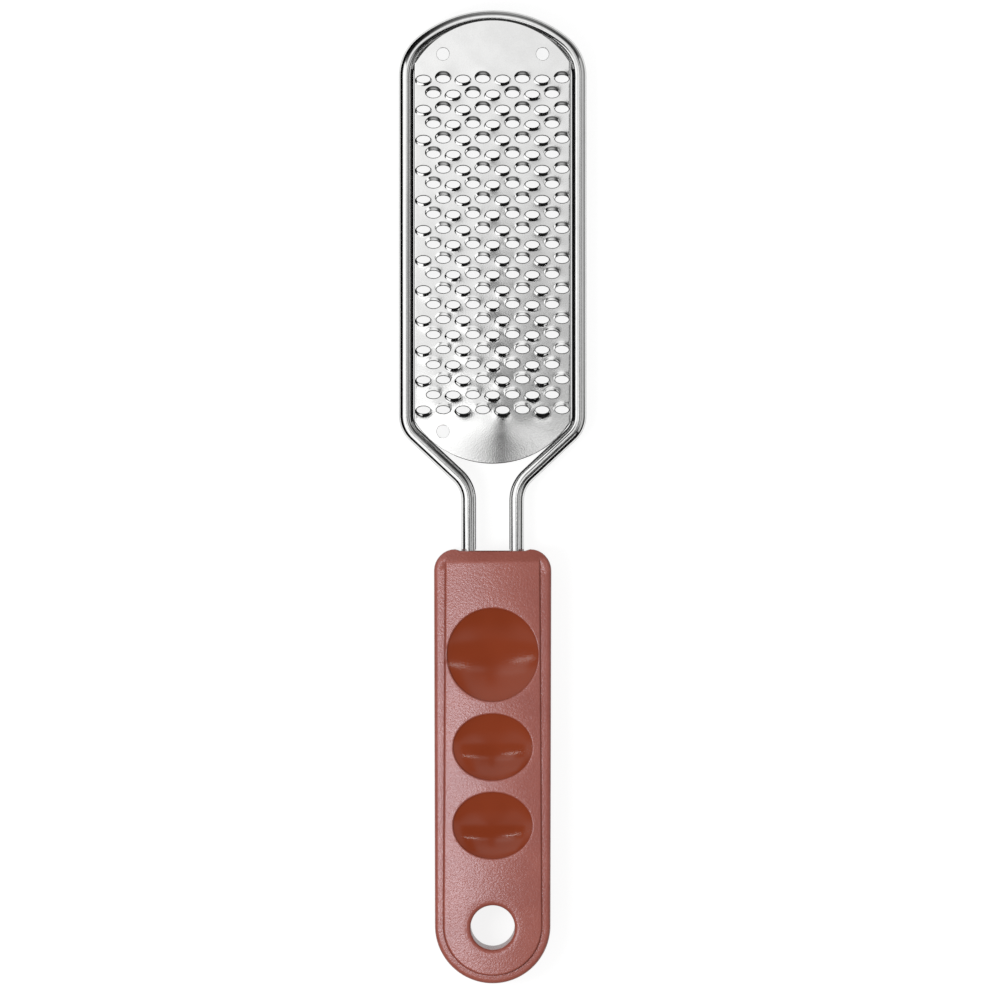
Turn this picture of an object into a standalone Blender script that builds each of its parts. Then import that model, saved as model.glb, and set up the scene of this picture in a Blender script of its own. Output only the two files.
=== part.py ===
"""Foot file: a punched steel plate on a bent rod frame, with a handle moulded round the rod ends.

Lengths are metres. The tool lies on the flat back of its handle: +X runs across it, +Y from the
handle to the tip, and +Z rises from the back to the face that carries the teeth. The origin is
under the middle of the tool.
"""

import math

import bmesh
import bpy
from mathutils import Matrix

TOOL_LENGTH = 0.260

# Handle: a flat sided grip with a round end, and a raised, crowned panel on its front
HANDLE_LENGTH = 0.1157
HANDLE_WIDTH = 0.0313
HANDLE_END_WIDTH = 0.0308
HANDLE_CORNER_RADIUS = 0.0056
HANDLE_RIM_DEPTH = 0.0144
HANDLE_EDGE_ROUNDING = 0.0020
PANEL_SIDE_INSET = 0.0031
PANEL_TOP_INSET = 0.0012
PANEL_END_INSET = 0.0024
PANEL_RISE = 0.0006
PANEL_CROWN = 0.0008
PANEL_EDGE_ROUNDING = 0.0005
PANEL_SLOPE_LENGTH = 0.0032
PANEL_SLOPE_DROP = 0.0012
MOUTH_WIDTH = 0.0184
MOUTH_DEPTH = 0.0004
SKIN_THICKNESS = 0.0020
FIT_GAP = 0.0003

# Dishes in the front: each one's middle is a distance below the handle's top, and its rim keeps
# a margin to the panel's sides
THUMB_DISH_PLACE = 0.0280
THUMB_DISH_LENGTH = 0.0248
THUMB_DISH_MARGIN = 0.0004
FINGER_DISH_PLACE = 0.0526
FINGER_DISH_PITCH = 0.0209
FINGER_DISH_LENGTH = 0.0177
FINGER_DISH_MARGIN = 0.0020
FINGER_DISH_COUNT = 2
DISH_DEPTH = 0.0020
DISH_BALL_SHARE = 0.4

# Hang hole through the round end, with a lining of the grip's skin
HANG_HOLE_DIAMETER = 0.0118
HANG_HOLE_PLACE = 0.0150
HANG_HOLE_ROUNDING = 0.0011
LINING_THICKNESS = 0.0018

# Rod frame: one round rod bent into a hoop, drawn in to two parallel legs that end a margin
# short of the hang hole's lining
ROD_DIAMETER = 0.0039
HOOP_WIDTH = 0.0502
HOOP_TIP_CROWN = 0.0109
HOOP_CORNER_RADIUS = 0.01155
SHOULDER_BEND_RADIUS = 0.0073
NECK_BEND_RADIUS = 0.0090
DRAW_IN_ANGLE = math.radians(47)
LEG_SPACING = 0.01284
NECK_LENGTH = 0.0131
LEG_END_MARGIN = 0.0090

# Grater plate: a thin sheet on the front of the hoop, with a flange down each straight side
SEAT_GAP = 0.0002
PLATE_THICKNESS = 0.0004
PLATE_LENGTH = 0.1185
PLATE_TIP_INSET = 0.0029
PLATE_END_CROWN = 0.0113
FLANGE_DEPTH = 0.0034
FLANGE_RELIEF = 0.0006
LOCATOR_DIAMETER = 0.00335
LOCATOR_SPACING = 0.0266
LOCATOR_TIP_INSET = 0.0090
LOCATOR_NECK_INSET = 0.0086

# Teeth: an oval hole each, with a crescent of the sheet pushed up along one side of it
TOOTH_PITCH = 0.00529
TOOTH_ROW_PITCH = 0.00402
TOOTH_SIDE_WEB = 0.0005
TOOTH_TIP_MARGIN = 0.0156
TOOTH_NECK_MARGIN = 0.0144
HOLE_LENGTH = 0.0039
HOLE_WIDTH = 0.0024
LIP_REACH = 0.00205
LIP_SPREAD = 0.0007
LIP_RISE = 0.0008
LIP_SHIFT = 0.0002

# How finely round shapes are divided, and how near two corners are made one
WELD_DISTANCE = 0.000003
TOOTH_STEPS = 4
BEND_STEPS = 5
TIP_STEPS = 14
END_STEPS = 16
CORNER_STEPS = 4
RIM_STEPS = 3
EDGE_RESOLUTION = 2
ROD_RESOLUTION = 4
ROUND_SIDES = 16
DISH_SIDES = 32
HANG_HOLE_SIDES = 32
SMOOTH_ANGLE = math.radians(32)
SHEET_SMOOTH_ANGLE = math.radians(12)

# Places that follow from the sizes
TIP_Y = TOOL_LENGTH / 2
HANDLE_END_Y = -TOOL_LENGTH / 2
HANDLE_TOP_Y = HANDLE_END_Y + HANDLE_LENGTH
ROD_RADIUS = ROD_DIAMETER / 2
ROD_HEIGHT = HANDLE_RIM_DEPTH / 2
ROD_SIDE_X = HOOP_WIDTH / 2 - ROD_RADIUS
LEG_X = LEG_SPACING / 2
NECK_Y = HANDLE_TOP_Y + NECK_LENGTH
BEND_REACH = (SHOULDER_BEND_RADIUS + NECK_BEND_RADIUS) * (1 - math.cos(DRAW_IN_ANGLE))
DIAGONAL_LENGTH = (ROD_SIDE_X - LEG_X - BEND_REACH) / math.sin(DRAW_IN_ANGLE)
BEND_RISE = (SHOULDER_BEND_RADIUS + NECK_BEND_RADIUS) * math.sin(DRAW_IN_ANGLE)
SHOULDER_Y = NECK_Y + BEND_RISE + DIAGONAL_LENGTH * math.cos(DRAW_IN_ANGLE)
TIP_ARC_RADIUS = (ROD_SIDE_X**2 + HOOP_TIP_CROWN**2) / (2 * HOOP_TIP_CROWN)
TIP_ARC_Y = TIP_Y - ROD_RADIUS - TIP_ARC_RADIUS
CORNER_X = ROD_SIDE_X - HOOP_CORNER_RADIUS
CORNER_Y = TIP_ARC_Y + math.sqrt((TIP_ARC_RADIUS - HOOP_CORNER_RADIUS) ** 2 - CORNER_X**2)
PLATE_HALF = HOOP_WIDTH / 2 - ROD_DIAMETER - SEAT_GAP
PLATE_TOP_Z = ROD_HEIGHT + ROD_RADIUS + SEAT_GAP + PLATE_THICKNESS
PLATE_TIP_Y = TIP_Y - PLATE_TIP_INSET
PLATE_NECK_Y = PLATE_TIP_Y - PLATE_LENGTH
PANEL_HALF = HANDLE_WIDTH / 2 - PANEL_SIDE_INSET
PANEL_TOP_Z = HANDLE_RIM_DEPTH + PANEL_RISE + PANEL_CROWN
HANG_HOLE_Y = HANDLE_END_Y + HANG_HOLE_PLACE
LEG_END_Y = HANG_HOLE_Y + HANG_HOLE_DIAMETER / 2 + LINING_THICKNESS + LEG_END_MARGIN
OVERRUN = HANDLE_RIM_DEPTH


def arc(centre_x, centre_y, radius, start, end, steps):
    """Points of a round arc from one angle to another, both ends included."""
    angles = [start + (end - start) * step / steps for step in range(steps + 1)]
    return [(centre_x + radius * math.cos(a), centre_y + radius * math.sin(a)) for a in angles]


def mirrored(points):
    """The same points on the other side of the tool, in the opposite order."""
    return [(-x, y) for x, y in reversed(points)]


def material(name, colour, roughness, metallic):
    made = bpy.data.materials.new(name)
    made.use_nodes = True
    shader = made.node_tree.nodes["Principled BSDF"]
    shader.inputs["Base Color"].default_value = (*colour, 1)
    shader.inputs["Roughness"].default_value = roughness
    shader.inputs["Metallic"].default_value = metallic
    return made


def add_object(name, mesh, collection, finish=None, sharp=SMOOTH_ANGLE):
    made = bpy.data.objects.new(name, mesh)
    collection.objects.link(made)
    mesh.shade_smooth()
    mesh.set_sharp_from_angle(angle=sharp)
    if finish:
        mesh.materials.append(finish)
    return made


def mesh_of_curve(curve):
    """The curve's solid as a mesh, with its loose caps welded on."""
    guide = bpy.data.objects.new(curve.name, curve)
    bpy.context.scene.collection.objects.link(guide)
    bpy.context.view_layer.update()
    evaluated = guide.evaluated_get(bpy.context.evaluated_depsgraph_get())
    mesh = bpy.data.meshes.new_from_object(evaluated)
    bpy.data.objects.remove(guide)
    made = bmesh.new()
    made.from_mesh(mesh)
    bmesh.ops.remove_doubles(made, verts=made.verts, dist=WELD_DISTANCE)
    bmesh.ops.recalc_face_normals(made, faces=made.faces)
    made.to_mesh(mesh)
    made.free()
    mesh.name = curve.name
    return mesh


def prism(name, points, low, high, rounding=0.0):
    """A closed outline in X and Y, solid between two heights, with its edges rounded."""
    curve = bpy.data.curves.new(name, "CURVE")
    curve.dimensions = "2D"
    curve.fill_mode = "BOTH"
    curve.extrude = (high - low) / 2 - rounding
    curve.bevel_depth = rounding
    curve.bevel_resolution = EDGE_RESOLUTION
    spline = curve.splines.new("POLY")
    spline.points.add(len(points) - 1)
    for point, (x, y) in zip(spline.points, points):
        point.co = (x, y, 0, 1)
    spline.use_cyclic_u = True
    mesh = mesh_of_curve(curve)
    mesh.transform(Matrix.Translation((0, 0, (high + low) / 2)))
    return mesh


def ellipse(half_width, half_length, centre_y, steps):
    """Points once round an oval that lies across the tool's middle line."""
    angles = [2 * math.pi * step / steps for step in range(steps)]
    return [(half_width * math.cos(a), centre_y + half_length * math.sin(a)) for a in angles]


def cutter(name, mesh):
    """A helper solid that only shapes other pieces."""
    made = add_object(name, mesh, cutters)
    made.hide_render = True
    made.display_type = "WIRE"
    return made


def boolean(target, operation, other):
    """Adds, cuts away or keeps the space of another solid."""
    step = target.modifiers.new(f"{operation.lower()} {other.name}", "BOOLEAN")
    step.operation = operation
    step.object = other


def rod_outline():
    """Middle line of the rod, from the end of the right leg round the tip to the left leg."""
    lean = math.atan2(CORNER_Y - TIP_ARC_Y, CORNER_X)
    neck_x = LEG_X + NECK_BEND_RADIUS
    shoulder_x = ROD_SIDE_X - SHOULDER_BEND_RADIUS
    right = [(LEG_X, LEG_END_Y)]
    right += arc(neck_x, NECK_Y, NECK_BEND_RADIUS, math.pi, math.pi - DRAW_IN_ANGLE, BEND_STEPS)
    right += arc(shoulder_x, SHOULDER_Y, SHOULDER_BEND_RADIUS, -DRAW_IN_ANGLE, 0, BEND_STEPS)
    right += arc(CORNER_X, CORNER_Y, HOOP_CORNER_RADIUS, 0, lean, BEND_STEPS)
    tip = arc(0, TIP_ARC_Y, TIP_ARC_RADIUS, lean, math.pi - lean, TIP_STEPS)
    return right + tip[1:-1] + mirrored(right)


def make_wire_frame(finish):
    """The round rod, as a curve with a round section and closed ends."""
    curve = bpy.data.curves.new("wire_frame", "CURVE")
    curve.dimensions = "3D"
    curve.bevel_depth = ROD_RADIUS
    curve.bevel_resolution = ROD_RESOLUTION
    curve.use_fill_caps = True
    spline = curve.splines.new("POLY")
    points = rod_outline()
    spline.points.add(len(points) - 1)
    for point, (x, y) in zip(spline.points, points):
        point.co = (x, y, 0, 1)
    frame = add_object("wire_frame", mesh_of_curve(curve), parts, finish)
    frame.location.z = ROD_HEIGHT


def add_tooth(sheet, x, y, side):
    """One oval hole and the crescent along its lip side, in the sheet's plane. Returns the edges
    where the flat of the sheet meets it."""
    steps = range(TOOTH_STEPS + 1)
    y += side * LIP_SHIFT
    half_length = HOLE_LENGTH / 2
    half_width = HOLE_WIDTH / 2
    rim = []
    foot = []
    for angle in (math.pi * step / TOOTH_STEPS for step in steps):
        along = math.cos(angle)
        out = math.sin(angle)
        raised = (x + half_length * along, y + side * half_width * out, LIP_RISE * out)
        rim.append(sheet.verts.new(raised))
        flat = (x + along * (half_length + LIP_SPREAD * out), y + side * LIP_REACH * out, 0)
        foot.append(sheet.verts.new(flat))
    for end in (0, -1):
        rim[end].co.z = 0
        sheet.verts.remove(foot[end])
        foot[end] = rim[end]
    for step in range(TOOTH_STEPS):
        corners = [rim[step], foot[step], foot[step + 1], rim[step + 1]]
        sheet.faces.new(list(dict.fromkeys(corners)))
    flat_side = [foot[-1]]
    for angle in (math.pi + math.pi * step / TOOTH_STEPS for step in steps[1:-1]):
        place = (x + half_length * math.cos(angle), y + side * half_width * math.sin(angle), 0)
        flat_side.append(sheet.verts.new(place))
    loop = foot + flat_side[1:]
    return [edge_between(sheet, loop[i - 1], loop[i]) for i in range(len(loop))]


def edge_between(sheet, first, second):
    return sheet.edges.get((first, second)) or sheet.edges.new((first, second))


def add_loop(sheet, points):
    """A closed line of edges in the sheet's plane."""
    corners = [sheet.verts.new((x, y, 0)) for x, y in points]
    return [sheet.edges.new((corners[i - 1], corners[i])) for i in range(len(corners))]


def tooth_places():
    """Where each tooth stands and which side its lip is on: rows of n and n - 1 by turns, each
    row's lips facing the tip and the handle by turns."""
    span = PLATE_LENGTH - TOOTH_TIP_MARGIN - TOOTH_NECK_MARGIN
    rows = round(span / TOOTH_ROW_PITCH) + 1
    middle_y = PLATE_TIP_Y - TOOTH_TIP_MARGIN - span / 2
    width = 2 * (PLATE_HALF - TOOTH_SIDE_WEB) - HOLE_LENGTH
    most = int(width / TOOTH_PITCH) + 1
    places = []
    for row in range(rows):
        count = most - row % 2
        y = middle_y + TOOTH_ROW_PITCH * ((rows - 1) / 2 - row)
        for column in range(count):
            x = TOOTH_PITCH * (column - (count - 1) / 2)
            side = 1 if (row + column) % 2 else -1
            places.append((x, y, side))
    return places


def make_grater_plate(finish):
    """The sheet's front face with its teeth, holes and flanges, thickened backwards."""
    sheet = bmesh.new()
    end_radius = (PLATE_HALF**2 + PLATE_END_CROWN**2) / (2 * PLATE_END_CROWN)
    spread = math.asin(PLATE_HALF / end_radius)
    upright = math.pi / 2
    tip = arc(
        0, PLATE_TIP_Y - end_radius, end_radius, upright - spread, upright + spread, TIP_STEPS
    )
    neck = arc(
        0, PLATE_NECK_Y + end_radius, end_radius, -upright - spread, spread - upright, TIP_STEPS
    )
    flange_low = max(SHOULDER_Y, PLATE_NECK_Y + PLATE_END_CROWN) + FLANGE_RELIEF
    flange_high = min(CORNER_Y, PLATE_TIP_Y - PLATE_END_CROWN) - FLANGE_RELIEF
    left = [(-PLATE_HALF, flange_high), (-PLATE_HALF, flange_low)]
    right = [(PLATE_HALF, flange_low), (PLATE_HALF, flange_high)]
    border = add_loop(sheet, tip + left + neck + right)
    edges = list(border)
    for x, y, side in tooth_places():
        edges += add_tooth(sheet, x, y, side)
    locators = [
        (-LOCATOR_SPACING / 2, PLATE_TIP_Y - LOCATOR_TIP_INSET),
        (LOCATOR_SPACING / 2, PLATE_TIP_Y - LOCATOR_TIP_INSET),
        (-LOCATOR_SPACING / 2, PLATE_NECK_Y + LOCATOR_NECK_INSET),
    ]
    for x, y in locators:
        circle = arc(x, y, LOCATOR_DIAMETER / 2, 0, 2 * math.pi, ROUND_SIDES)
        edges += add_loop(sheet, circle[:-1])
    bmesh.ops.triangle_fill(sheet, use_beauty=True, edges=edges, normal=(0, 0, 1))
    sheet.normal_update()
    for face in sheet.faces:
        if face.normal.z < 0:
            face.normal_flip()
    for edge in (border[len(tip) + 1], border[-1]):
        add_flange(sheet, edge)
    mesh = bpy.data.meshes.new("grater_plate")
    sheet.to_mesh(mesh)
    sheet.free()
    plate = add_object("grater_plate", mesh, parts, finish, SHEET_SMOOTH_ANGLE)
    plate.location.z = PLATE_TOP_Z
    shell = plate.modifiers.new("sheet thickness", "SOLIDIFY")
    shell.thickness = PLATE_THICKNESS
    shell.offset = -1
    shell.use_even_offset = True


def add_flange(sheet, edge):
    """Folds a strip of the sheet down along this straight edge, its face turned outwards."""
    fold = bmesh.ops.extrude_edge_only(sheet, edges=[edge])["geom"]
    for item in fold:
        if isinstance(item, bmesh.types.BMVert):
            item.co.z -= FLANGE_DEPTH
    for item in fold:
        if isinstance(item, bmesh.types.BMFace):
            item.normal_update()
            if item.normal.x * item.calc_center_median().x < 0:
                item.normal_flip()


def outline(top_half, end_half, top_y, end_y, corner):
    """The handle's outline: a round end, straight sides and a square top with round corners."""
    points = arc(0, end_y + end_half, end_half, math.pi, 2 * math.pi, END_STEPS)
    shoulder = arc(top_half - corner, top_y - corner, corner, 0, math.pi / 2, CORNER_STEPS)
    return points + shoulder + mirrored(shoulder)


def handle_outline(inset):
    return outline(
        HANDLE_WIDTH / 2 - inset,
        HANDLE_END_WIDTH / 2 - inset,
        HANDLE_TOP_Y - inset,
        HANDLE_END_Y + inset,
        HANDLE_CORNER_RADIUS - inset,
    )


def front_height(x):
    """Height of the crowned panel at this distance from the tool's middle line."""
    return PANEL_TOP_Z - PANEL_CROWN * (x / PANEL_HALF) ** 2


def make_panel():
    """The raised front panel: its outline, kept below a crown across and a slope at its top."""
    end_half = HANDLE_END_WIDTH / 2 - PANEL_SIDE_INSET
    inset = PANEL_EDGE_ROUNDING
    points = outline(
        PANEL_HALF - inset,
        end_half - inset,
        HANDLE_TOP_Y - PANEL_TOP_INSET - inset,
        HANDLE_END_Y + PANEL_END_INSET + inset,
        HANDLE_CORNER_RADIUS - PANEL_SIDE_INSET - inset,
    )
    low = HANDLE_RIM_DEPTH - SKIN_THICKNESS / 2
    panel = cutter("panel", prism("panel", points, low, PANEL_TOP_Z, PANEL_EDGE_ROUNDING))
    steps = [2 * step / END_STEPS - 1 for step in range(END_STEPS + 1)]
    reach = HANDLE_WIDTH / 2
    across = [(reach * s, front_height(reach * s)) for s in steps]
    across += [(reach, 0), (-reach, 0)]
    crown_mesh = prism("crown", across, -TOOL_LENGTH, TOOL_LENGTH)
    crown = cutter("crown", crown_mesh)
    crown.rotation_euler.x = math.pi / 2
    boolean(panel, "INTERSECT", crown)
    top = HANDLE_TOP_Y - PANEL_TOP_INSET
    slope_shares = [step / BEND_STEPS for step in range(BEND_STEPS + 1)]
    along = [
        (top - PANEL_SLOPE_LENGTH * (1 - s), PANEL_TOP_Z - PANEL_SLOPE_DROP * s**2)
        for s in slope_shares
    ]
    along += [(top, 0), (-TOOL_LENGTH, 0), (-TOOL_LENGTH, PANEL_TOP_Z + PANEL_CROWN)]
    along += [(top - PANEL_SLOPE_LENGTH, PANEL_TOP_Z + PANEL_CROWN)]
    slope = cutter("slope", prism("slope", along, -HANDLE_WIDTH, HANDLE_WIDTH))
    slope.rotation_euler = (math.pi / 2, 0, math.pi / 2)
    boolean(panel, "INTERSECT", slope)
    return panel


def dish_places():
    """Name, half width, half length and middle of each dish in the handle's front."""
    thumb_y = HANDLE_TOP_Y - THUMB_DISH_PLACE
    thumb_half = PANEL_HALF - THUMB_DISH_MARGIN
    finger_half = PANEL_HALF - FINGER_DISH_MARGIN
    places = [("thumb_dish", thumb_half, THUMB_DISH_LENGTH / 2, thumb_y)]
    for number in range(FINGER_DISH_COUNT):
        y = HANDLE_TOP_Y - FINGER_DISH_PLACE - FINGER_DISH_PITCH * number
        places.append((f"finger_dish_{number + 1}", finger_half, FINGER_DISH_LENGTH / 2, y))
    return places


def make_dish(name, half_width, half_length, y):
    """The hollow of a dish: part of an oval ball whose rim follows the crowned front."""
    height = DISH_DEPTH / DISH_BALL_SHARE
    side_rise = DISH_DEPTH - (PANEL_TOP_Z - front_height(half_width))
    reach_x = half_width / math.sqrt(1 - (1 - side_rise / height) ** 2)
    reach_y = half_length / math.sqrt(1 - (1 - DISH_DEPTH / height) ** 2)
    ball = bmesh.new()
    bmesh.ops.create_uvsphere(ball, u_segments=DISH_SIDES, v_segments=ROUND_SIDES, radius=1)
    mesh = bpy.data.meshes.new(name)
    ball.to_mesh(mesh)
    ball.free()
    mesh.transform(Matrix.Diagonal((reach_x, reach_y, height, 1)))
    dish = cutter(name, mesh)
    dish.location = (0, y, PANEL_TOP_Z - DISH_DEPTH + height)
    return dish


def make_hang_hole():
    """The hang hole as a turned shape, opening out in a round rim at the front and back."""
    radius = HANG_HOLE_DIAMETER / 2
    wide = radius + HANG_HOLE_ROUNDING
    front = front_height(radius)
    quarter = math.pi / 2
    rounding = HANG_HOLE_ROUNDING
    profile = [(0, front + OVERRUN), (wide, front + OVERRUN)]
    profile += arc(wide, front - rounding, rounding, quarter, 2 * quarter, RIM_STEPS)
    profile += arc(wide, rounding, rounding, 2 * quarter, 3 * quarter, RIM_STEPS)
    profile += [(wide, -OVERRUN), (0, -OVERRUN)]
    turned = bmesh.new()
    corners = [turned.verts.new((x, 0, z)) for x, z in profile]
    for first, second in zip(corners, corners[1:]):
        turned.edges.new((first, second))
    bmesh.ops.spin(
        turned,
        geom=turned.verts[:] + turned.edges[:],
        cent=(0, 0, 0),
        axis=(0, 0, 1),
        angle=2 * math.pi,
        steps=HANG_HOLE_SIDES,
        use_merge=True,
    )
    bmesh.ops.remove_doubles(turned, verts=turned.verts, dist=WELD_DISTANCE)
    bmesh.ops.recalc_face_normals(turned, faces=turned.faces)
    mesh = bpy.data.meshes.new("hang_hole")
    turned.to_mesh(mesh)
    turned.free()
    hole = cutter("hang_hole", mesh)
    hole.location.y = HANG_HOLE_Y
    return hole


def round_bar(name, radius, length, sides):
    """A round bar along Z, its middle at the origin."""
    bar = bmesh.new()
    bmesh.ops.create_cone(
        bar, cap_ends=True, segments=sides, radius1=radius, radius2=radius, depth=length
    )
    mesh = bpy.data.meshes.new(name)
    bar.to_mesh(mesh)
    bar.free()
    return cutter(name, mesh)


def make_sockets():
    """The two holes that the rod's legs sit in."""
    sockets = []
    length = HANDLE_TOP_Y - LEG_END_Y + FIT_GAP + OVERRUN
    for name, x in (("left_socket", -LEG_X), ("right_socket", LEG_X)):
        socket = round_bar(name, ROD_RADIUS + FIT_GAP, length, ROUND_SIDES)
        socket.rotation_euler.x = math.pi / 2
        socket.location = (x, HANDLE_TOP_Y + OVERRUN - length / 2, ROD_HEIGHT)
        sockets.append(socket)
    return sockets


def make_handle_grip(finish, panel, windows, hang_hole, sockets):
    """The moulded skin: the outer form less the space of the core, with windows over the dishes."""
    rounding = HANDLE_EDGE_ROUNDING
    outer = prism("handle_grip", handle_outline(rounding), 0, HANDLE_RIM_DEPTH, rounding)
    grip = add_object("handle_grip", outer, parts, finish)
    boolean(grip, "UNION", panel)
    inner = handle_outline(SKIN_THICKNESS)
    top = HANDLE_RIM_DEPTH - SKIN_THICKNESS
    cavity = cutter("cavity", prism("cavity", inner, SKIN_THICKNESS, top))
    lining_radius = HANG_HOLE_DIAMETER / 2 + LINING_THICKNESS
    lining = round_bar("lining", lining_radius, 2 * OVERRUN, HANG_HOLE_SIDES)
    lining.location = (0, HANG_HOLE_Y, HANDLE_RIM_DEPTH / 2)
    boolean(cavity, "DIFFERENCE", lining)
    boolean(grip, "DIFFERENCE", cavity)
    for window in windows:
        boolean(grip, "DIFFERENCE", window)
    for hollow in (hang_hole, *sockets):
        boolean(grip, "DIFFERENCE", hollow)
    mouth_half = MOUTH_WIDTH / 2
    mouth = [
        (mouth_half + MOUTH_DEPTH, HANDLE_TOP_Y + FIT_GAP),
        (-mouth_half - MOUTH_DEPTH, HANDLE_TOP_Y + FIT_GAP),
        (-mouth_half, HANDLE_TOP_Y - MOUTH_DEPTH),
        (mouth_half, HANDLE_TOP_Y - MOUTH_DEPTH),
    ]
    dip = cutter("mouth", prism("mouth", mouth, -OVERRUN, HANDLE_RIM_DEPTH + OVERRUN))
    boolean(grip, "DIFFERENCE", dip)
    return grip


def make_handle_core(finish, dishes, sockets):
    """The rigid moulding inside the skin, rising through the windows to the dishes."""
    inset = SKIN_THICKNESS + FIT_GAP
    mesh = prism("handle_core", handle_outline(inset), inset, HANDLE_RIM_DEPTH - inset)
    core = add_object("handle_core", mesh, parts, finish)
    middle = HANDLE_RIM_DEPTH / 2
    for name, half_width, half_length, y in dish_places():
        points = ellipse(half_width - FIT_GAP, half_length - FIT_GAP, y, DISH_SIDES)
        boss = cutter(f"{name}_boss", prism(f"{name}_boss", points, middle, PANEL_TOP_Z))
        boolean(core, "UNION", boss)
    for dish in dishes:
        boolean(core, "DIFFERENCE", dish)
    passage_radius = HANG_HOLE_DIAMETER / 2 + LINING_THICKNESS + FIT_GAP
    passage = round_bar("lining_passage", passage_radius, 2 * OVERRUN, HANG_HOLE_SIDES)
    passage.location = (0, HANG_HOLE_Y, middle)
    for hollow in (passage, *sockets):
        boolean(core, "DIFFERENCE", hollow)


for old in list(bpy.data.objects):
    bpy.data.objects.remove(old)
parts = bpy.data.collections.new("foot_file")
cutters = bpy.data.collections.new("cutters")
bpy.context.scene.collection.children.link(parts)
bpy.context.scene.collection.children.link(cutters)

polished_sheet = material("polished_sheet", (0.80, 0.80, 0.79), 0.22, 1.0)
polished_rod = material("polished_rod", (0.62, 0.62, 0.61), 0.14, 1.0)
glossy_brown = material("glossy_brown", (0.240, 0.052, 0.022), 0.30, 0.0)
grained_brown = material("grained_brown", (0.300, 0.092, 0.066), 0.52, 0.0)

make_wire_frame(polished_rod)
make_grater_plate(polished_sheet)
sockets = make_sockets()
dishes = [make_dish(*place) for place in dish_places()]
windows = []
for name, half_width, half_length, y in dish_places():
    points = ellipse(half_width, half_length, y, DISH_SIDES)
    mesh = prism(f"{name}_window", points, HANDLE_RIM_DEPTH / 2, PANEL_TOP_Z + OVERRUN)
    windows.append(cutter(f"{name}_window", mesh))
make_handle_core(glossy_brown, dishes, sockets)
make_handle_grip(grained_brown, make_panel(), windows, make_hang_hole(), sockets)
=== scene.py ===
import math

import bmesh
import bpy
import numpy as np
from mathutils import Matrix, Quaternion, Vector


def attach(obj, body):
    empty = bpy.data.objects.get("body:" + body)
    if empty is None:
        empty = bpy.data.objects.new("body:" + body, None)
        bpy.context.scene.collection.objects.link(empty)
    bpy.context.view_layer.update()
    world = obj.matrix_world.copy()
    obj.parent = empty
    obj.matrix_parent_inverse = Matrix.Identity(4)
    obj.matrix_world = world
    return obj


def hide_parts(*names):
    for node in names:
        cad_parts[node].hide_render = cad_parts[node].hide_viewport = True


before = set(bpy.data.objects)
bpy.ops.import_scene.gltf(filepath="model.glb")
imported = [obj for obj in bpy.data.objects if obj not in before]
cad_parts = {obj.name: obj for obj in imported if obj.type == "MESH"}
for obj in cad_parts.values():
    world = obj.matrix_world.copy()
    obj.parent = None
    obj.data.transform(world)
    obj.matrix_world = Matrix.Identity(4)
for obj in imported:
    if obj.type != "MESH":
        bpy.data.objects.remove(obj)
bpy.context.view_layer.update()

# Grater plate. One sheet of stainless steel, punched from behind so that every oval hole keeps a
# crescent of metal standing along one side, then trimmed round at both ends and folded down along
# its straight sides. The sheet lies on the front of the rod frame and is bowed a little outwards.
SHEET_HALF = 0.0210
SHEET_TOP = 0.00975
SHEET_THICKNESS = 0.0004
SHEET_TIP_Y = 0.1271
SHEET_NECK_Y = 0.0086
SHEET_END_RADIUS = 0.02516
FOLD_RADIUS = 0.0004
FLAT_HALF = SHEET_HALF - FOLD_RADIUS
TRIM_RADIUS = 0.00010
TRIM_POWER = 6
RIDGE_X = 0.002
RIDGE_SLOPE = math.tan(math.radians(1.2))
RIDGE_WIDTH = 0.003
RIDGE_FADE = 0.012
FLANGE_DEPTH = 0.0034
FLANGE_ENDS = (0.0202, 0.1141)
TOOTH_ROWS = 23
LONG_ROW_TEETH = 8
TOOTH_PITCH = 0.00529
ROW_PITCH = 0.00402
FIRST_ROW_Y = 0.11142
HOLE_HALF = (0.00203, 0.00120)
LIP_SHIFT = 0.00003
# A lip's spread past its hole's ends, its reach over the sheet and its rise, the share by which
# the rise changes from the tip's row to the neck's, the bulge of its back, and how far the line
# between the rows gives way to it.
TIP_LIP = {
    "ends": 0.00024, "reach": 0.00090, "rise": 0.00046,
    "fade": -0.70, "bulge": 0.4, "give": 0.00045,
}
NECK_LIP = {
    "ends": 0.00032, "reach": 0.00058, "rise": 0.00037,
    "fade": 0.15, "bulge": 0.1, "give": 0.00015,
}
GIVE_SHARES = ((-2, 0.2), (-1, 0.8), (0, 1.0), (1, 0.8), (2, 0.2))
LIP_START = 0.15
LIP_POWER = 0.3
LIP_END_SPREAD = 1.6
LIP_MARGIN = 0.00006
SWELL = 0.00007
SWELL_WIDTH = 0.0007
CUT_LEAN = 0.00020
LOCATORS = ((-0.0133, 0.1181), (0.0133, 0.1181), (-0.0133, 0.0172))
LOCATOR_RADIUS = 0.0017
LOCATOR_SQUARE = 3
CAP_ROWS = 14
FIELD_HALF = 24
TOOTH_COLUMNS = 6
# Points in each ring of a tooth's cell, the bands of faces between its rings, and the cut's bands.
TOOTH_POINTS = 24
TOOTH_BANDS = 9
CUT_BANDS = (6, 7)
STRIP_COLUMNS = 4
STRIP_LEVELS = np.arange(2, -3, -1) / TOOTH_COLUMNS * ROW_PITCH
MERGE = 0.000002
SHEET_COLOURS = ((0.80, 0.80, 0.795), (0.88, 0.88, 0.875))
CUT_COLOURS = ((0.10, 0.10, 0.10), (0.26, 0.26, 0.255))
# The sheet's edge wall below its round and the folded strips are near black: painted shade for the dark gap
# between the sheet and the rod.
PAINTED_GAP_SHADE_COLOURS = ((0.045, 0.045, 0.047), (0.100, 0.100, 0.103))
POLISHED, CUT, PAINTED_GAP_SHADE = 0, 1, 2


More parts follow.
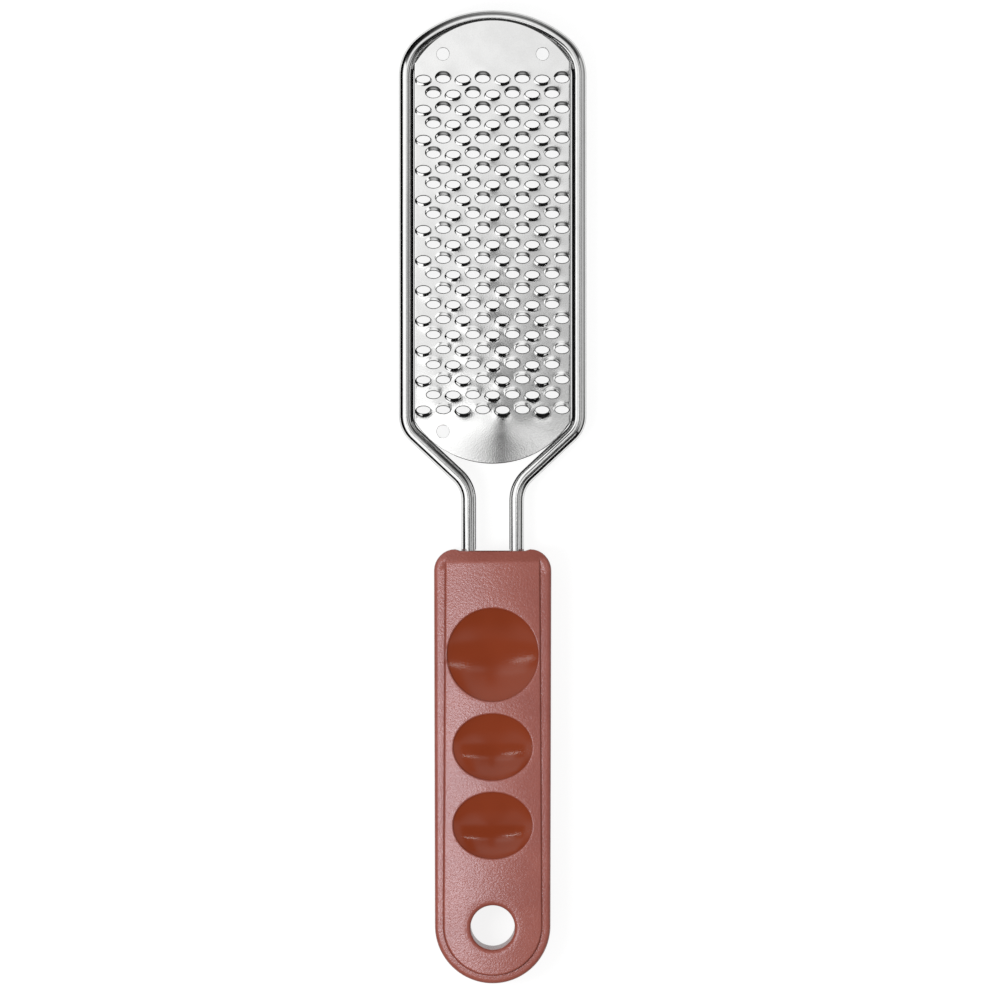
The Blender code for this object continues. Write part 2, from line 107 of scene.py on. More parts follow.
class Signal:
    """A number or colour that varies over a surface: one output socket of a node tree. Sums and
    products of signals and plain numbers add their Math nodes."""

    def __init__(self, tree, socket=None):
        self.tree = tree
        self.socket = socket

    def node(self, kind, sockets=None, output=0, stops=None, **settings):
        """Adds a node of this type, with its settings first and then its sockets' values or links."""
        made = self.tree.nodes.new(kind)
        for name, value in settings.items():
            setattr(made, name, value)
        for index, (place, colour) in enumerate(stops or []):
            ramp = made.color_ramp.elements
            stop = ramp[index] if index < len(ramp) else ramp.new(place)
            stop.position = place
            stop.color = (*colour, 1)
        for name, value in (sockets or {}).items():
            if isinstance(value, Signal):
                self.tree.links.new(value.socket, made.inputs[name])
            else:
                made.inputs[name].default_value = value
        return Signal(self.tree, made.outputs[output]) if output is not None else None

    def math(self, operation, *values):
        return self.node("ShaderNodeMath", dict(enumerate(values)), operation=operation)

    def __add__(self, other):
        return self.math("ADD", self, other)

    def __radd__(self, other):
        return self.math("ADD", other, self)

    def __sub__(self, other):
        return self.math("SUBTRACT", self, other)

    def __rsub__(self, other):
        return self.math("SUBTRACT", other, self)

    def __mul__(self, other):
        return self.math("MULTIPLY", self, other)

    def __rmul__(self, other):
        return self.math("MULTIPLY", other, self)

    def step(self, low, high):
        """Rises smoothly from 0 at the low value to 1 at the high one."""
        sockets = {"Value": self, "From Min": low, "From Max": high}
        return self.node("ShaderNodeMapRange", sockets, interpolation_type="SMOOTHSTEP")

    def spread(self):
        """Stretches the middle of a soft noise over the whole way from 0 to 1."""
        return self.step(0.3, 0.7)

    def blend(self, low, high):
        """The colour that lies this far from the low one to the high one."""
        sockets = {"Factor": self, "A": (*low, 1), "B": (*high, 1)}
        return self.node("ShaderNodeMix", sockets, output=2, data_type="RGBA")


def new_finish(name, roughness, metallic, **constants):
    """A Principled material with these constants, and the signal that its patterns start from."""
    finish = bpy.data.materials.new(name)
    finish.use_nodes = True
    shader = finish.node_tree.nodes["Principled BSDF"]
    shader.inputs["Roughness"].default_value = roughness
    shader.inputs["Metallic"].default_value = metallic
    for socket, value in constants.items():
        shader.inputs[socket.replace("_", " ")].default_value = value
    return finish, shader, Signal(finish.node_tree)


def feed(shader, socket, signal):
    signal.tree.links.new(signal.socket, shader.inputs[socket])


def pattern(start, scale, stretch=(1, 1, 1), detail=2.0, rough=0.5):
    """Soft noise on the piece's own coordinates, with this many spots to a metre."""
    place = start.node("ShaderNodeTexCoord", output="Object")
    place = start.node("ShaderNodeMapping", {"Vector": place, "Scale": stretch})
    sockets = {"Vector": place, "Scale": scale, "Detail": detail, "Roughness": rough}
    return start.node("ShaderNodeTexNoise", sockets, output="Fac")


def relief(start, height, strength, distance):
    sockets = {"Height": height, "Strength": strength, "Distance": distance}
    return start.node("ShaderNodeBump", sockets, output="Normal")


def grid_faces(rows, columns, closed):
    """Corner numbers of the quads between neighbouring rows of points, round again if closed."""
    row = np.arange(rows - 1)[:, None]
    column = np.arange(columns if closed else columns - 1)[None, :]
    beside = (column + 1) % columns
    corners = [row * columns + column, row * columns + beside]
    corners += [(row + 1) * columns + beside, (row + 1) * columns + column]
    return np.stack(corners, axis=-1).reshape(-1, 4)


def patch(points, closed=True):
    """A grid of points, rows by columns, as its points and quads. More axes before these two are
    so many grids alike."""
    rows, columns = points.shape[-3:-1]
    grids = points.reshape(-1, rows * columns, 3)
    start = rows * columns * np.arange(len(grids))[:, None, None]
    return grids.reshape(-1, 3), (grid_faces(rows, columns, closed)[None] + start).reshape(-1, 4)


def add_piece(name, patches, finishes, node, sharp):
    """Joins patches along the points that they share into one closed mesh, smooth up to the sharp
    angle, that stands for a node of the frame. A third part of a patch numbers its faces' finish."""
    starts = np.cumsum([0] + [len(part[0]) for part in patches])
    points = np.concatenate([part[0] for part in patches])
    faces = np.concatenate([part[1] + start for part, start in zip(patches, starts)])
    numbers = [part[2] if len(part) > 2 else np.zeros(len(part[1]), int) for part in patches]
    mesh = bpy.data.meshes.new(name)
    mesh.from_pydata(points.tolist(), [], faces.tolist())
    mesh.polygons.foreach_set("material_index", np.concatenate(numbers))
    made = bmesh.new()
    made.from_mesh(mesh)
    bmesh.ops.remove_doubles(made, verts=made.verts, dist=MERGE)
    bmesh.ops.recalc_face_normals(made, faces=made.faces)
    made.to_mesh(mesh)
    made.free()
    mesh.shade_smooth()
    mesh.set_sharp_from_angle(angle=math.radians(sharp))
    for finish in finishes:
        mesh.materials.append(finish)
    piece = bpy.data.objects.new(name, mesh)
    bpy.context.scene.collection.objects.link(piece)
    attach(piece, "root")
    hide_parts(node)
    return piece


def at_height(xy, z):
    z = np.broadcast_to(z, xy.shape[:-1])[..., None]
    return np.concatenate([xy, z], axis=-1)


def row_lines():
    """The tooth field's columns, its teeth, and the lines between its rows. A line gives way where
    a lip reaches over it: each such lip pushes it outwards at its middle, and less far in the
    columns beside that. Columns stand a sixth of the tooth pitch apart."""
    columns = np.arange(-FIELD_HALF, FIELD_HALF + 1)
    push = np.zeros((TOOTH_ROWS + 1, len(columns)))
    teeth = []
    for row in range(TOOTH_ROWS):
        count = LONG_ROW_TEETH - row % 2
        for number in range(count):
            column = TOOTH_COLUMNS * number - TOOTH_COLUMNS // 2 * (count - 1)
            side = 1 if (row + number) % 2 else -1
            give = (TIP_LIP if side > 0 else NECK_LIP)["give"]
            push[row if side > 0 else row + 1, column + FIELD_HALF] += side * give
            teeth.append((row, column, side))
    push = sum(share * np.roll(push, move, axis=1) for move, share in GIVE_SHARES)
    line_y = FIRST_ROW_Y + ROW_PITCH / 2 - ROW_PITCH * np.arange(TOOTH_ROWS + 1)[:, None]
    column_x = np.clip(columns * TOOTH_PITCH / TOOTH_COLUMNS, -FLAT_HALF, FLAT_HALF)
    return column_x, np.array(teeth), line_y + push


def lip_size(side, name):
    return np.where(side > 0, TIP_LIP[name], NECK_LIP[name])


def tooth_patches(column_x, teeth, line_y):
    """Every tooth's cell of the sheet at once: rings from the cell's edge in to the foot of the
    lip, up the lip to the rim of the hole, down the leaning cut and back out below the sheet. The
    lip is highest at the middle of its side and falls to the hole's ends; from its rim it drops
    by (1 - bulge) * share + bulge * share cubed of its height, where share is the way to its foot.
    The rise changes by the fade from the tip's row to the neck's."""
    row, column, side = (teeth[:, i][:, None] for i in range(3))
    angle = 2 * np.pi * np.arange(TOOTH_POINTS) / TOOTH_POINTS
    half = TOOTH_COLUMNS // 2
    across = np.clip(np.abs(np.arange(TOOTH_POINTS) - 2 * TOOTH_COLUMNS) - TOOTH_COLUMNS, -half, half)
    up = np.roll(across, TOOTH_POINTS // 4)
    place = column + across + FIELD_HALF
    middle_y = FIRST_ROW_Y - ROW_PITCH * row
    inner_y = middle_y + up * ROW_PITCH / TOOTH_COLUMNS
    edge_y = np.where(np.abs(up) == half, line_y[row + (up < 0), place], inner_y)
    edge = np.stack([column_x[place], edge_y], axis=-1)
    middle = np.stack([column * TOOTH_PITCH / TOOTH_COLUMNS, middle_y + side * LIP_SHIFT], axis=-1)
    round_line = np.stack([np.cos(angle), np.sin(angle)], axis=-1)
    rim = middle + HOLE_HALF * round_line
    toward = np.clip(side * np.sin(angle) + LIP_START, 0, None) / (1 + LIP_START)
    fade = lip_size(side, "fade") * (row / (TOOTH_ROWS - 1))
    height = lip_size(side, "rise") * (1 + fade) * toward**LIP_POWER
    bulge = lip_size(side, "bulge")
    reach_x = lip_size(side, "ends") * np.cos(angle) * np.clip(LIP_END_SPREAD * np.sqrt(toward), 0, 1)
    reach = np.stack([reach_x, side * lip_size(side, "reach") * toward], axis=-1) + LIP_MARGIN * round_line
    foot = rim + reach
    margin = foot + LIP_MARGIN * round_line
    rings = [at_height(margin + share * (edge - margin), 0) for share in (1, 0.45, 0)]
    for share in (1, 0.68, 0.34, 0):
        left = 1 - (1 - bulge) * share - bulge * share**3
        rings.append(at_height(rim + share * reach, height * left))
    for share in (0.3, 1):
        rings.append(at_height(rim - share * CUT_LEAN * round_line, height - share * SHEET_THICKNESS))
    rings.append(at_height(edge, -SHEET_THICKNESS))
    return np.stack(rings, axis=1)


def side_strips(column_x, line_y):
    """The plain half cells at both ends of the shorter rows."""
    grids = []
    for row in range(1, TOOTH_ROWS, 2):
        for first in (0, len(column_x) - STRIP_COLUMNS):
            part = slice(first, first + STRIP_COLUMNS)
            x = column_x[part]
            inner = FIRST_ROW_Y - ROW_PITCH * row + STRIP_LEVELS[:, None] + 0 * x
            y = np.concatenate([line_y[row, part][None], inner, line_y[row + 1, part][None]])
            grids.append(np.stack([x + 0 * y, y, 0 * y], axis=-1))
    return np.stack(grids)


def trim_radius(x):
    """Radius of the sheet's trimmed edge at x: it grows to that of the fold at the corners."""
    share = np.clip(np.abs(x) / FLAT_HALF, 0, 1) ** TRIM_POWER
    return TRIM_RADIUS + (FOLD_RADIUS - TRIM_RADIUS) * share


def end_y(x, end):
    """The trimmed end's outline at x: a round arc, inset by the radius of its edge."""
    sign = 1 if end == SHEET_TIP_Y else -1
    middle = end - sign * SHEET_END_RADIUS
    return middle + sign * np.sqrt((SHEET_END_RADIUS - trim_radius(x)) ** 2 - x**2)


def cap_grid(column_x, start_y, end):
    """The plain end of the sheet: rows of points that change from the last tooth line to the round
    outline."""
    share = np.append(np.linspace(0, 0.99, CAP_ROWS), 1)[:, None]
    y = start_y + share * (end_y(column_x, end) - start_y)
    return np.stack([column_x + 0 * y, y, 0 * y], axis=-1)


def cap_patches(grid, locators):
    """The cap's quads, with a square of them round each locating hole changed for rings, above and
    below the sheet, and the hole's wall."""
    rows, columns = grid.shape[:2]
    taken = np.zeros((rows - 1, columns - 1), bool)
    patches = []
    down = np.array([0, 0, -SHEET_THICKNESS])
    for x, y in locators:
        column = int(np.abs(grid[0, :, 0] - x).argmin())
        row = int(np.abs(grid[:, column, 1] - y).argmin())
        low, high = row - LOCATOR_SQUARE, row + LOCATOR_SQUARE
        left, right = column - LOCATOR_SQUARE, column + LOCATOR_SQUARE
        taken[low:high, left:right] = True
        loop = np.concatenate([grid[low, left:right], grid[low:high, right],
                               grid[high, right:left:-1], grid[high:low:-1, left]])
        angle = np.arctan2(loop[:, 1] - y, loop[:, 0] - x)
        round_line = np.stack([np.cos(angle), np.sin(angle), 0 * angle], axis=-1)
        middle = np.array([x, y, 0])
        flat = middle + (LOCATOR_RADIUS + 2 * TRIM_RADIUS) * round_line
        rim = middle + (LOCATOR_RADIUS + TRIM_RADIUS) * round_line
        wall = middle + LOCATOR_RADIUS * round_line
        rings = [loop, flat, rim, wall - [0, 0, TRIM_RADIUS], wall + down, loop + down]
        patches.append(patch(np.stack(rings)))
    points, faces = patch(grid, closed=False)
    faces = faces[~taken.reshape(-1)]
    return patches + [(points, faces), (points + down, faces)]


def edge_patch(outline):
    """The sheet's edge, carried once round the outline: a quarter round out from the top, and a
    wall down to the underside."""
    ahead = np.roll(outline, -1, axis=0) - np.roll(outline, 1, axis=0)
    out = np.stack([ahead[:, 1], -ahead[:, 0]], axis=-1)
    out /= np.linalg.norm(out, axis=1)[:, None]
    on_side = np.abs(outline[:, 0]) > FLAT_HALF - MERGE
    radius = np.where(on_side, FOLD_RADIUS, trim_radius(outline[:, 0]))
    rings = []
    for angle in np.linspace(0, np.pi / 2, 5):
        xy = outline + (radius * np.sin(angle))[:, None] * out
        rings.append(np.concatenate([xy, (radius * (np.cos(angle) - 1))[:, None]], axis=1))
    below = rings[-1].copy()
    below[:, 2] = -SHEET_THICKNESS
    under = rings[0].copy()
    under[:, 2] = -SHEET_THICKNESS
    points, faces = patch(np.stack(rings + [below, under]))
    # The wall below the round and the underside take the near-black painted shade of the gap beside the
    # rod.
    painted_shade = np.arange(len(faces)) >= (len(rings) - 1) * len(outline)
    return points, faces, np.where(painted_shade, PAINTED_GAP_SHADE, POLISHED)


def swell(x, y, teeth):
    """The soft swelling of the sheet beyond the foot of each lip, summed over the lips: it falls
    by exp(-distance from the foot / width) and to nothing at the hole's two ends."""
    lift = np.zeros_like(x)
    for row, column, side in teeth:
        half_x = HOLE_HALF[0] + lip_size(side, "ends")
        half_y = HOLE_HALF[1] + lip_size(side, "reach")
        from_x = x - column * TOOTH_PITCH / TOOTH_COLUMNS
        from_y = side * (y - FIRST_ROW_Y + ROW_PITCH * row) - LIP_SHIFT
        far = np.hypot(from_x, from_y) + MERGE
        stretched = np.hypot(from_x / half_x, from_y / half_y) + MERGE
        out = np.maximum(far - far / stretched, 0)
        toward = np.maximum(from_y / half_y / stretched, 0)
        lift += SWELL * toward * np.exp(-out / SWELL_WIDTH)
    return lift


def formed(points, teeth):
    """The flat sheet, raised to its place with its lips and with a faint ridge along its middle:
    the slope goes from one side's to the other's over the ridge's width, and fades at the ends."""
    x, y = points[:, 0], points[:, 1]
    share = np.clip(np.minimum(SHEET_TIP_Y - y, y - SHEET_NECK_Y) / RIDGE_FADE, 0, 1)
    share = share * share * (3 - 2 * share)
    fall = np.hypot(x - RIDGE_X, RIDGE_WIDTH) - RIDGE_WIDTH
    edge_fall = math.hypot(SHEET_HALF - RIDGE_X, RIDGE_WIDTH) - RIDGE_WIDTH
    lift = RIDGE_SLOPE * (edge_fall - fall) * (0.5 + 0.5 * share) + swell(x, y, teeth)
    return points + np.stack([0 * x, 0 * x, lift + SHEET_TOP], axis=1)


def flange_patch(sign):
    """The strip folded down along one straight side: a thin bar with its top inside the sheet's
    round edge and a round foot."""
    thickness = SHEET_THICKNESS
    outer = SHEET_HALF
    profile = np.array([
        (outer - thickness, -0.75 * thickness),
        (outer, -0.95 * thickness),
        (outer, 0.25 * thickness - FLANGE_DEPTH),
        (outer - 0.3 * thickness, -FLANGE_DEPTH),
        (outer - 0.7 * thickness, -FLANGE_DEPTH),
        (outer - thickness, 0.25 * thickness - FLANGE_DEPTH),
    ])
    middle = profile.mean(axis=0)
    neck_y, tip_y = FLANGE_ENDS
    rings = []
    for y, size in ((neck_y, 0), (neck_y, 1), (tip_y, 1), (tip_y, 0)):
        line = middle + size * (profile - middle)
        rings.append(np.stack([sign * line[:, 0], 0 * line[:, 0] + y, line[:, 1]], axis=-1))
    return patch(np.stack(rings))


column_x, teeth, line_y = row_lines()
tip_cap = cap_grid(column_x, line_y[0], SHEET_TIP_Y)
neck_cap = cap_grid(column_x, line_y[-1], SHEET_NECK_Y)
strips = side_strips(column_x, line_y)
side_levels = FIRST_ROW_Y - ROW_PITCH * np.arange(TOOTH_ROWS)[:, None] + STRIP_LEVELS
right_y = np.concatenate([line_y[:-1, -1:], side_levels], axis=1).reshape(-1)
left_y = np.concatenate([line_y[:-1, :1], side_levels], axis=1).reshape(-1)
outline = np.concatenate([
    neck_cap[:0:-1, -1, :2],
    neck_cap[0:1, -1, :2],
    np.stack([0 * right_y + FLAT_HALF, right_y], axis=1)[::-1],
    tip_cap[1:, -1, :2],
    tip_cap[-1, -2:0:-1, :2],
    tip_cap[:0:-1, 0, :2],
    np.stack([0 * left_y - FLAT_HALF, left_y], axis=1),
    neck_cap[:, 0, :2],
    neck_cap[-1, 1:-1, :2],
])
points, faces = patch(tooth_patches(column_x, teeth, line_y))
band_number = np.arange(len(faces)) // TOOTH_POINTS % TOOTH_BANDS
sheet = [(points, faces, np.where(np.isin(band_number, CUT_BANDS), CUT, POLISHED))]
sheet += [patch(strips, closed=False), patch(strips - [0, 0, SHEET_THICKNESS], closed=False)]
sheet += cap_patches(tip_cap, LOCATORS[:2]) + cap_patches(neck_cap, LOCATORS[2:])
sheet.append(edge_patch(outline))
# The folded strips carry the same near-black painted shade of the gap beside the rod.
for part in (flange_patch(1), flange_patch(-1)):
    sheet.append((*part, np.full(len(part[1]), PAINTED_GAP_SHADE)))
sheet = [(formed(part[0], teeth), *part[1:]) for part in sheet]

sheet_finish, shader, start = new_finish("polished_sheet_finish", 0.2, 1.0)
cloud = pattern(start, 180, detail=3)
speck = pattern(start, 2600, detail=1)
feed(shader, "Base Color", (cloud * 0.7 + speck * 0.3).spread().blend(*SHEET_COLOURS))
feed(shader, "Roughness", 0.07 + 0.04 * cloud + 0.04 * speck)
feed(shader, "Normal", relief(start, speck, 0.05, 0.0001))
cut_finish, shader, start = new_finish("cut_edge_finish", 0.4, 1.0)
speck = pattern(start, 3000, detail=2)
feed(shader, "Base Color", speck.blend(*CUT_COLOURS))
feed(shader, "Roughness", 0.3 + 0.2 * speck)
# Near-black steel: painted shade for the gap between the sheet and the rod.
painted_shade_finish, shader, start = new_finish("painted_shade_edge_finish", 0.6, 1.0)
speck = pattern(start, 2200, detail=2)
feed(shader, "Base Color", speck.blend(*PAINTED_GAP_SHADE_COLOURS))
feed(shader, "Roughness", 0.5 + 0.2 * speck)
finishes = [sheet_finish, cut_finish, painted_shade_finish]
sheet_piece = add_piece("grater_sheet", sheet, finishes, "grater_plate", 32)

# Rod frame. One length of round stainless rod, bent cold into a hoop round the plate, drawn in at
# the shoulders to two legs that run deep into the handle, and polished along its length.
ROD_RADIUS = 0.00195
ROD_Z = 0.0072
HOOP_SIDE_X = 0.02315
LEG_X = 0.00642
LEG_END_Y = -0.0983
NECK_BEND_Y = -0.0012
SHOULDER_BEND_Y = 0.02150
CORNER_CENTRE = (0.0116, 0.1124)
TIP_CENTRE_Y = 0.09802
TIP_LINE_RADIUS = 0.03003
CORNER_RADIUS = 0.01155
SHOULDER_RADIUS = 0.0073
NECK_RADIUS = 0.0090
DRAW_IN = math.radians(47)
LEG_BREAK_Y = -0.05
BEND_STEPS = 14
HOOP_CORNER_STEPS = 12
TIP_STEPS = 56
ROD_SIDES = 40
ROD_COLOURS = ((0.76, 0.76, 0.755), (0.84, 0.84, 0.835))
ROD_TINT = (0.6, 0.6, 0.6, 1)


def bend(centre_x, centre_y, radius, first, last, steps):
    angle = np.linspace(first, last, steps + 1)
    return np.stack([centre_x + radius * np.cos(angle), centre_y + radius * np.sin(angle)], axis=1)


def rod_line():
    """Middle line of the rod: a straight leg, two bends with a straight between them, the long
    side, a corner and the tip's flat arc, and the same again on the other side."""
    lean = math.atan2(CORNER_CENTRE[1] - TIP_CENTRE_Y, CORNER_CENTRE[0])
    half = np.concatenate([
        [[LEG_X, LEG_END_Y], [LEG_X, LEG_BREAK_Y]],
        bend(LEG_X + NECK_RADIUS, NECK_BEND_Y, NECK_RADIUS, math.pi, math.pi - DRAW_IN, BEND_STEPS),
        bend(HOOP_SIDE_X - SHOULDER_RADIUS, SHOULDER_BEND_Y, SHOULDER_RADIUS, -DRAW_IN, 0, BEND_STEPS),
        bend(*CORNER_CENTRE, CORNER_RADIUS, 0, lean, HOOP_CORNER_STEPS),
    ])
    tip = bend(0, TIP_CENTRE_Y, TIP_LINE_RADIUS, lean, math.pi - lean, TIP_STEPS)[1:-1]
    return np.concatenate([half, tip, half[::-1] * [-1, 1]])


def tube(line, radius, height, sides):
    """A round section carried along a flat line at this height: each point of the line, plus the
    radius along the line's outward side and up, by the cosine and sine of the way round. The ends
    are drawn in to a point."""
    ahead = np.gradient(line, axis=0)
    ahead /= np.linalg.norm(ahead, axis=1)[:, None]
    out = np.stack([ahead[:, 1], -ahead[:, 0]], axis=1)
    angle = np.linspace(0, 2 * np.pi, sides + 1)[None, :, None]
    rings = line[:, None] + radius * np.cos(angle) * out[:, None]
    z = height + radius * np.sin(angle) + 0 * rings[..., :1]
    rings = np.concatenate([rings, z], axis=-1)
    ends = np.stack([rings[i].mean(axis=0) + 0 * rings[i] for i in (0, -1)])
    return np.concatenate([ends[:1], rings, ends[1:]])


rings = tube(rod_line(), ROD_RADIUS, ROD_Z, ROD_SIDES)
rod_finish, shader, start = new_finish("polished_rod_finish", 0.12, 1.0, Specular_Tint=ROD_TINT)
streak = pattern(start, 1, stretch=(900, 60, 900), detail=2)
speck = pattern(start, 1500, detail=1)
feed(shader, "Base Color", (streak * 0.6 + speck * 0.4).spread().blend(*ROD_COLOURS))
feed(shader, "Roughness", 0.08 + 0.06 * speck)
feed(shader, "Normal", relief(start, streak * 0.6 + speck * 0.4, 0.15, 0.00005))
rod = add_piece("frame_rod", [patch(rings, closed=False)], [rod_finish], "wire_frame", 60)

# Handle. A rigid brown core is moulded round the rod's legs, and a thinner, fine grained skin is
# moulded over the core with three windows in its front. The core rises through the windows to
# smooth dishes for the thumb and the fingers. The skin also lines the hang hole.
HANDLE_TOP_Y = -0.0143
HANDLE_END_Y = -0.1300
HANDLE_HALF = 0.01565
HANDLE_END_HALF = 0.0154
HANDLE_CORNER = 0.0056
LEAST_CORNER = 0.0012
BACK_ROUND = 0.0014
FRONT_ROUND = 0.0012
ROUND_INSETS = (0.0012, 0.00045, 0.0011)
RIM_Z = 0.0144
PANEL_HALF = 0.01255
PANEL_Z = 0.0158
PANEL_CROWN = 0.0008
BEVEL_START_Y = -0.0178
BEVEL_SLOPE = 0.62
BEVEL_SOFTNESS = 0.0003
CREASE_FADE = 0.0014
CREASE_LEAD = 0.3
MOUTH_HALF = 0.0094
MOUTH_DEPTH = 0.0004
HANG_Y = -0.1150
HANG_RADIUS = 0.0059
HANG_ROUNDING = 0.0011
LINING = 0.0018
# Half width, half length and middle of the two finger dishes and the thumb dish.
DISHES = ((0.01055, 0.00885, -0.0878), (0.01055, 0.00885, -0.0669), (0.01215, 0.0124, -0.0423))
DISH_DEPTH = 0.0020
DISH_CURVE = 0.64
DISH_STEP = 0.00016
DISH_EDGE = 0.00036
DISH_LAP = 0.00003
DISH_RINGS = 17
SKIN = 0.0020
CORE_GAP = 0.0003
CAVITY_TOP, CAVITY_LOW = RIM_Z - SKIN, SKIN
# Where the cells round the hang hole and the dishes meet, and the points along each cell's side.
CELL_Y = (-0.1023, -0.07735, -0.0564)
CELL_STEPS = (14, 20, 20, 36)
CORNER_STEPS = 8
ACROSS_STEPS = 32
END_STEPS = 72
QUARTER = np.linspace(0, np.pi / 2, 6)
FRONT_SHARES = np.array([0, 0.02, 0.05, 0.08, 0.1, 0.12, 0.14, 0.17, 0.22, 0.35, 0.55, 0.8, 1])
CORE_COLOURS = ((0.225, 0.037, 0.012), (0.260, 0.045, 0.016))
SKIN_COLOURS = ((0.240, 0.060, 0.041), (0.290, 0.080, 0.056))
SKIN_TINT = (0.9, 0.9, 1.0, 1)

# The crease, line by line inwards: its insets at the sides, the top and the round end, and its
# height over the rim at the sides and at the top.
CREASE = (
    (0.00284, 0.00060, 0.00208, 0.0, 0.0),
    (0.00294, 0.00068, 0.00217, -0.00010, 0.00005),
    (0.00302, 0.00076, 0.00224, -0.00014, 0.00010),
    (0.00308, 0.00086, 0.00230, 0.00006, 0.00015),
)
# The front panel's edge: the same insets, how far it lies below the front, and its share of the
# mouth's depth.
PANEL_EDGE = (
    (0.00313, 0.0010, 0.00235, 0.00028, 1.0),
    (0.00320, 0.0012, 0.00242, 0.00013, 0.8),
    (0.00330, 0.0014, 0.00252, 0.00004, 0.5),
    (0.00345, 0.0016, 0.00266, 0.0, 0.2),
)


def handle_loop(side, top, end, mouth=0.0):
    """One closed line round the handle, inset by these amounts at the sides, top and round end,
    with the mouth of the rod's legs let into its top, and each point's share of the bevel. It
    starts at the right side's lower end and has the same number of points for every inset."""
    half, end_half = HANDLE_HALF - side, HANDLE_END_HALF - end
    corner = max(HANDLE_CORNER - side, LEAST_CORNER)
    top_y = HANDLE_TOP_Y - top
    low_y = HANDLE_END_Y + end + end_half
    stops = [low_y, *CELL_Y, top_y - corner]
    y = [np.linspace(a, b, n + 1)[:-1] for a, b, n in zip(stops, stops[1:], CELL_STEPS)]
    y = np.concatenate(y + [stops[-1:]])
    x = end_half + (half - end_half) * (y - low_y) / (stops[-1] - low_y)
    right = np.stack([x, y], axis=1)
    right_turn = bend(half - corner, top_y - corner, corner, 0, math.pi / 2, CORNER_STEPS)
    x = np.linspace(half - corner, corner - half, ACROSS_STEPS + 1)
    dip = np.clip((MOUTH_HALF - np.abs(x)) / MOUTH_DEPTH + 0.5, 0, 1)
    across = np.stack([x, top_y - mouth * dip], axis=1)
    left_turn, left = (part[::-1] * [-1, 1] for part in (right_turn, right))
    arc = bend(0, low_y, end_half, math.pi, 2 * math.pi, END_STEPS)
    line = np.concatenate([part[:-1] for part in (right, right_turn, across, left_turn, left, arc)])
    return line, np.clip((line[:, 1] - BEVEL_START_Y) / CREASE_FADE + CREASE_LEAD, 0, 1)


def cells(line):
    """Splits the space inside a handle line into four cells, stacked from the hang hole to the
    thumb, and returns each cell's closed outline."""
    right = np.cumsum([0, *CELL_STEPS])
    left = right[-1] + 2 * CORNER_STEPS + ACROSS_STEPS + np.cumsum([0, *CELL_STEPS[::-1]])
    left = left[::-1]
    share = np.linspace(0, 1, ACROSS_STEPS + 1)[:, None]
    cross = [line[right[i]] + share * (line[left[i] % len(line)] - line[right[i]]) for i in range(4)]
    outlines = [[line[right[0]:right[1]], cross[1], line[left[1] + 1:]]]
    for i in (1, 2):
        outlines.append([line[right[i]:right[i + 1]], cross[i + 1]])
        outlines[-1] += [line[left[i + 1] + 1:left[i]], cross[i][:0:-1]]
    outlines.append([line[right[3]:left[3]], cross[3][:0:-1]])
    return [np.concatenate(outline) for outline in outlines]


def oval_line(outline, half_x, half_y, middle_y):
    """The oval's points that face the points of a cell's outline."""
    angle = np.arctan2((outline[:, 1] - middle_y) / half_y, outline[:, 0] / half_x)
    return np.stack([half_x * np.cos(angle), middle_y + half_y * np.sin(angle)], axis=1)


def front_z(xy):
    """Height of the handle's front: crowned across, with a bevel that falls to its top end."""
    past = np.maximum(xy[..., 1] - BEVEL_START_Y, 0)
    fall = BEVEL_SLOPE * (np.hypot(past, BEVEL_SOFTNESS) - BEVEL_SOFTNESS)
    return PANEL_Z - PANEL_CROWN * (xy[..., 0] / PANEL_HALF) ** 2 - fall


def front_rings(outline, edge):
    """Rings on the front, from a cell's outline in to the edge of its hole."""
    spread = outline + FRONT_SHARES[:, None, None] * (edge - outline)
    return [at_height(ring, front_z(ring)) for ring in spread]


def fill_patch(outline, z):
    """A flat cell without a hole, drawn in to its middle."""
    middle = outline.mean(axis=0)
    return patch(at_height(np.stack([outline, middle + 0.5 * (outline - middle), middle + 0 * outline]), z))


def passage_patch(outline, radius, high, low):
    """Two flat cells, one over the other, and the wall of the round passage through both."""
    circle = oval_line(outline, radius, radius, HANG_Y)
    rings = [at_height(outline, high), at_height(circle, high)]
    rings += [at_height(circle, low), at_height(outline, low)]
    return patch(np.stack(rings))


def hang_hole_patches(front, deep, rear):
    """The cell of the hang hole, rounded over into the hole at both of its ends, and the lining
    round the hole inside the skin."""
    wide = HANG_RADIUS + HANG_ROUNDING
    rings = front_rings(front, oval_line(front, wide, wide, HANG_Y))
    for a in QUARTER[1:]:
        radius = wide - HANG_ROUNDING * math.sin(a)
        ring = oval_line(front, radius, radius, HANG_Y)
        rings.append(at_height(ring, front_z(ring) - HANG_ROUNDING * (1 - math.cos(a))))
    for a in QUARTER:
        radius = HANG_RADIUS + HANG_ROUNDING * (1 - math.cos(a))
        ring = oval_line(front, radius, radius, HANG_Y)
        rings.append(at_height(ring, HANG_ROUNDING * (1 - math.sin(a))))
    rings.append(at_height(rear, 0.0))
    return [patch(np.stack(rings)), passage_patch(deep, HANG_RADIUS + LINING, CAVITY_TOP, CAVITY_LOW)]


def window_patches(front, deep, rear, dish):
    """The cell of a window: the front, rounded over into the window, the window's wall down to
    the space of the core, and the cell's back."""
    half_x, half_y, middle_y = dish
    rings = front_rings(front, oval_line(front, half_x + DISH_EDGE, half_y + DISH_EDGE, middle_y))
    for a in QUARTER[1:]:
        grow = DISH_EDGE * (1 - math.sin(a))
        ring = oval_line(front, half_x + grow, half_y + grow, middle_y)
        rings.append(at_height(ring, front_z(ring) - DISH_EDGE * (1 - math.cos(a))))
    rings.append(at_height(oval_line(deep, half_x, half_y, middle_y), CAVITY_TOP))
    rings.append(at_height(deep, CAVITY_TOP))
    return [patch(np.stack(rings)), fill_patch(deep, CAVITY_LOW), fill_patch(rear, 0.0)]


